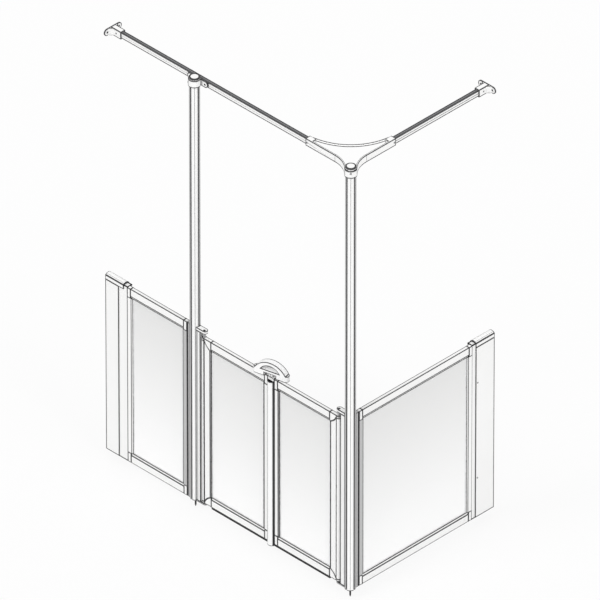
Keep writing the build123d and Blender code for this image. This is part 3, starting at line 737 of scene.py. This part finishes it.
def pick(piece, kind, test):
    """Enters edit mode with only the parts selected whose middle and direction pass a test."""
    only(piece)
    mesh = piece.data
    bpy.ops.object.mode_set(mode="EDIT")
    bpy.ops.mesh.select_mode(type=kind)
    bpy.ops.mesh.select_all(action="DESELECT")
    bpy.ops.object.mode_set(mode="OBJECT")
    if kind == "FACE":
        for face in mesh.polygons:
            face.select = test(face.center, face.normal)
    elif kind == "EDGE":
        for edge in mesh.edges:
            first, second = (mesh.vertices[i].co for i in edge.vertices)
            edge.select = test((first + second) / 2, second - first)
    else:
        for point in mesh.vertices:
            point.select = test(point.co, point.normal)
    bpy.ops.object.mode_set(mode="EDIT")


def leave_edit():
    bpy.ops.object.mode_set(mode="OBJECT")


def darken(piece):
    """Gives the selected faces the dark line."""
    piece.active_material_index = line_index
    bpy.ops.object.material_slot_assign()


def rim_faces(piece, width, test):
    """Draws a dark line inside the border of each chosen face."""
    pick(piece, "FACE", test)
    bpy.ops.mesh.inset(thickness=width, use_individual=True, use_select_inset=True)
    darken(piece)
    leave_edit()


def join_all(pieces):
    bpy.ops.object.select_all(action="DESELECT")
    for piece in pieces:
        piece.select_set(True)
    bpy.context.view_layer.objects.active = pieces[0]
    bpy.ops.object.join()
    return pieces[0]


def faces_out(place, normal):
    """Whether a face points along X, away from what carries the piece."""
    return normal.x > facing


def rounded_bar(name, back, front, ends, middle, radius, finish, line):
    """A flat bar with round ends that faces along X, with a dark rim line and sides darkened as
    painted shade.
    """
    centre = sum(ends) / 2
    half = (ends[1] - ends[0]) / 2
    bar = add_disc(name, ((back + front) / 2, centre, middle), radius, front - back, finish, line)
    for side in (-1, 1):
        pick(bar, "VERT", lambda place, normal: (place.y - centre) * side > 0)
        bpy.ops.transform.translate(value=(0.0, side * half, 0.0))
        leave_edit()
    rim_faces(bar, bracket_line, faces_out)
    # The bar's sides take the dark line colour as painted shade
    pick(bar, "FACE", lambda place, normal: abs(normal.x) < side_on)
    darken(bar)
    leave_edit()
    return bar


def screw_recess(centre, finish, line):
    """A low round boss with a dark screw sunk in its middle, and painted shade on the sunk ring round
    the screw.
    """
    boss = add_disc("recess", centre, recess_radius, 2 * recess_stand, finish, line)
    pick(boss, "FACE", faces_out)
    bpy.ops.mesh.inset(thickness=recess_rim)
    bpy.ops.transform.translate(value=(-recess_depth, 0.0, 0.0))
    # The sunk ring round the screw is darkened as painted shade; the screw inset in it stays dark
    darken(boss)
    bpy.ops.mesh.inset(thickness=screw_rim)
    bpy.ops.transform.translate(value=(-screw_depth, 0.0, 0.0))
    leave_edit()
    return boss


def flare_block(plate, inner, side, middle, finish, line):
    """A block beside the sleeve whose outer corner sweeps down to the bar in a hollow curve."""
    outer = inner + side * flare_radius
    flare = add_block(
        "flare",
        (plate, min(inner, outer), middle - ear_radius),
        (plate + flare_radius, max(inner, outer), middle + ear_radius),
        finish, line,
    )
    pick(flare, "EDGE", lambda place, run: (
        abs(run.z) > ear_radius
        and place.x > plate + flare_radius / 2
        and (place.y - inner) * side > flare_radius / 2
    ))
    bpy.ops.mesh.bevel(offset=flare_radius * flare_share, segments=flare_steps, profile=flare_hollow)
    leave_edit()
    rim_faces(flare, bracket_line / 2, lambda place, normal: abs(normal.z) > facing)
    return flare


def finish_bracket(shells, turned):
    """Joins a bracket's shells, turns their face from X to -Y if asked, and lets them ride."""
    bracket = join_all(shells)
    if turned:
        bracket.rotation_euler.z = -pi / 2
        bpy.ops.object.transform_apply(location=False, rotation=True, scale=False)
    only(bracket)
    bpy.ops.object.shade_smooth_by_angle(angle=edge_angle)
    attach(bracket, "screen")
    return bracket


def model_rail_bracket(node, turned, finish, line):
    """A wall bracket: a bar with two round screw ears that flares into a sleeve on the rail."""
    low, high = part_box(node)
    middle = middle_of(node, "Z")
    wall = -high.y if turned else low.x
    axis = middle_of(node, "X" if turned else "Y")
    plate = wall + bracket_plate
    half_width, half_height = bracket_half_sleeve
    ends = (axis - ear_reach, axis + ear_reach)
    shells = [rounded_bar(node + "_moulding", wall, plate, ends, middle, ear_radius, finish, line)]
    for side in (-1, 1):
        shells.append(flare_block(plate, axis + side * half_width, side, middle, finish, line))
        shells.append(screw_recess((plate, axis + side * ear_reach, middle), finish, line))
    sleeve = add_block(
        "sleeve",
        (plate, axis - half_width, middle - half_height),
        (wall + bracket_length, axis + half_width, middle + half_height),
        finish, line,
    )
    rim_faces(sleeve, bracket_line, lambda place, normal: normal.x > -facing)
    shells.append(sleeve)
    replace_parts(finish_bracket(shells, turned), node)


def model_side_wings(finish, line):
    """The two wings of the side post's bracket, each with a screw, on the long rail's face."""
    middle = middle_of("long_overhead_rail", "Z")
    back = -span("long_overhead_rail", "Y")[0]
    front = back + wing_thickness
    axis = post_axes[1][0]
    inner, outer = wing_ends
    shells = []
    for side in (-1, 1):
        ends = sorted((axis + side * inner, axis + side * outer))
        bar = rounded_bar("side_post_wings", back, front, ends, middle, wing_radius, finish, line)
        screw = screw_recess((front, axis + side * outer, middle), finish, line)
        shells += [bar, screw]
    finish_bracket(shells, True)


# Stage

def seen_directly(tree):
    """1 for what the camera sees straight, in a reflection or through the glazing."""
    rays = tree.nodes.new("ShaderNodeLightPath")
    kinds = ("Is Camera Ray", "Is Glossy Ray", "Is Transmission Ray")
    return either(tree, *(rays.outputs[kind] for kind in kinds))


def studio_ground(name):
    """A pale floor that the camera sees as white, with the object's shadow kept."""
    material, tree, shader = start_material(name, floor_gray, floor_roughness)
    glow = tree.nodes.new("ShaderNodeEmission")
    glow.inputs["Strength"].default_value = full_white
    share = times(tree, seen_directly(tree), floor_glow)
    mix = tree.nodes.new("ShaderNodeMixShader")
    tree.links.new(share, mix.inputs[0])
    tree.links.new(shader.outputs["BSDF"], mix.inputs[1])
    tree.links.new(glow.outputs["Emission"], mix.inputs[2])
    tree.links.new(mix.outputs["Shader"], tree.nodes["Material Output"].inputs["Surface"])
    return material


def lay_floor():
    bpy.ops.object.select_all(action="DESELECT")
    bpy.ops.mesh.primitive_plane_add(size=floor_size, location=(0.0, 0.0, floor_height))
    floor = bpy.context.object
    floor.name = "floor"
    floor.data.materials.append(studio_ground("studio_ground"))


def hang_sun(name, direction, strength):
    lamp = bpy.data.lights.new(name, "SUN")
    lamp.energy = strength
    lamp.angle = lamp_softness
    holder = bpy.data.objects.new(name, lamp)
    holder.rotation_euler = direction.to_track_quat("-Z", "Y").to_euler()
    bpy.context.scene.collection.objects.link(holder)


def light_world():
    """White where it is seen directly, and dimmer as light."""
    world = bpy.data.worlds.new("studio")
    bpy.context.scene.world = world
    world.use_nodes = True
    tree = world.node_tree
    sky = tree.nodes["Background"]
    strength = tree.nodes.new("ShaderNodeMapRange")
    strength.inputs["To Min"].default_value = sky_strength
    strength.inputs["To Max"].default_value = full_white
    tree.links.new(seen_directly(tree), strength.inputs["Value"])
    sky.inputs["Color"].default_value = (1.0, 1.0, 1.0, 1.0)
    tree.links.new(strength.outputs["Result"], sky.inputs["Strength"])


def place_camera():
    lens = bpy.data.cameras.new("camera")
    lens.lens = camera_lens
    lens.sensor_width = camera_sensor
    distance = camera_lens / camera_sensor * camera_view_width
    lens.clip_end = distance * 2
    holder = bpy.data.objects.new("camera", lens)
    holder.location = camera_target + camera_back.normalized() * distance
    holder.rotation_euler = camera_back.to_track_quat("Z", "Y").to_euler()
    bpy.context.scene.collection.objects.link(holder)
    bpy.context.scene.camera = holder


# The whole screen

def make_finishes():
    """The finish of each material slot."""
    return {
        "frame_paint": coated("powder_coat", white_paint, paint_roughness, paint_grain),
        "cap_plastic": coated("cap_plastic", white_plastic, cap_roughness, cap_grain),
        "bracket_plastic": coated("bracket_plastic", white_plastic, bracket_roughness, moulding_grain),
        "handle_plastic": coated("handle_plastic", white_gloss, handle_roughness, handle_grain),
        "strip_plastic": coated("strip_plastic", white_gloss, strip_roughness, moulding_grain),
        "glazing": frosted_glass(),
        "gasket_rubber": rubber("gasket_rubber", gasket_gray),
        "seal_rubber": rubber("seal_rubber", seal_black),
        "screw_steel": metal("screw_steel", screw_gray, screw_roughness),
        "pivot_steel": metal("pivot_steel", steel_gray, pivot_roughness),
        "pin_steel": rubber("pin_coat", pin_black),
    }


def dress_by_slot(finishes, line):
    """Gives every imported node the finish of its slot, and lines to the painted and moulded ones."""
    for row in frame["record"]["subparts"]:
        slot = row["material_slot"]
        if slot in slot_lines:
            dress(row["node"], finishes[slot], line, slot_lines[slot])
        else:
            dress(row["node"], finishes[slot])


def paint_panels():
    """Lines on the wall channels, and painted shade in gray bands on the joiners, the stiles' post
    sides and the left hinge profile.
    """
    for node, axis in (("left_wall_channel", "X"), ("right_wall_channel", "Y")):
        outline = outline_lines(node, axis, channel_line)
        repaint(node, marked(node + "_paint", white_paint, paint_roughness, outline))
    # The joiners' gray coat is painted shade
    joiner_shade_paint = coated("joiner_shade_paint", painted_joint_shade, joiner_roughness, paint_grain)
    for node in ("side_post_joiner", "corner_post_joiner"):
        recoat(node, joiner_shade_paint)
        thin_edges(node)
    for node, axis, side in (("side_panel_stiles", "X", 1), ("return_panel_stiles", "Y", -1)):
        # Painted shade in gray on the half of each stile next to its post
        post_side_shade = beyond(axis, middle_of(node, axis), side)
        recoat(node, marked(node + "_paint", white_paint, paint_roughness, post_side_shade, painted_joint_shade))
        thin_edges(node)
    # A band of painted shade along the left hinge profile
    reach, half_width = hinge_shade
    shade = thin_bands("X", ((span("left_hinge_profile", "X")[0] + reach, half_width),))
    hinge_paint = marked("left_hinge_paint", white_paint, paint_roughness, shade, painted_joint_shade)
    recoat("left_hinge_profile", hinge_paint)


def paint_posts_and_rails():
    for node, centre in zip(("corner_post", "side_post"), post_axes):
        repaint(node, post_paint(node + "_paint", centre))
    repaint("long_overhead_rail", rail_paint("long_overhead_rail", "Y", long_rail_centre_line))
    repaint("short_overhead_rail", rail_paint("short_overhead_rail", "X", short_rail_centre_line))


def mark_overhead_mouldings():
    """Lines on the post caps, the side post's bracket, the corner connector and its brace."""
    repaint("post_caps", marked("post_cap_plastic", white_plastic, cap_roughness, post_cap_lines))
    for node, name, find_lines in (
        ("side_post_bracket", "side_bracket_plastic", side_bracket_lines),
        ("corner_brace", "brace_plastic", brace_lines),
    ):
        repaint(node, marked(name, white_plastic, bracket_roughness, find_lines))
    recoat(
        "corner_connector",
        marked("connector_plastic", white_plastic, bracket_roughness, connector_lines),
    )
    thin_edges("corner_connector")


def mark_panel_mouldings():
    """Lines on the wall caps, the door handle and the meeting strip."""
    inset, half_width = cap_outline
    for node, axis in (("left_wall_cap", "Y"), ("right_wall_cap", "X")):
        low, high = span(node, axis)
        bands = [(side * barrel_line_reach, barrel_half_width) for side in (-1, 1)]
        bands += [(low + inset, half_width), (high - inset, half_width)]
        lines = thin_bands(axis, bands)
        recoat(node, marked(node + "_plastic", white_plastic, cap_roughness, lines, barrel_gray))
    recoat("handle_grip", marked("lined_handle", white_gloss, handle_roughness, handle_lines))
    low, high = span("meeting_strip", "X")
    bead, bead_half_width = strip_bead
    lines = thin_bands("X", ((high, strip_lip), (low + bead, bead_half_width)))
    recoat("meeting_strip", marked("lipped_strip", white_gloss, strip_roughness, lines))
    thin_edges("meeting_strip_cap")


def dress_everything():
    finishes = make_finishes()
    line = dark_line()
    dress_by_slot(finishes, line)
    paint_panels()
    paint_posts_and_rails()
    mark_overhead_mouldings()
    mark_panel_mouldings()
    for node, turned in (("left_rail_bracket", False), ("right_rail_bracket", True)):
        model_rail_bracket(node, turned, finishes["bracket_plastic"], line)
    model_side_wings(finishes["bracket_plastic"], line)


dress_everything()
lay_floor()
light_world()
hang_sun("key", key_direction, key_strength)
hang_sun("fill", fill_direction, fill_strength)
place_camera()
bpy.context.scene.view_settings.view_transform = "Standard"
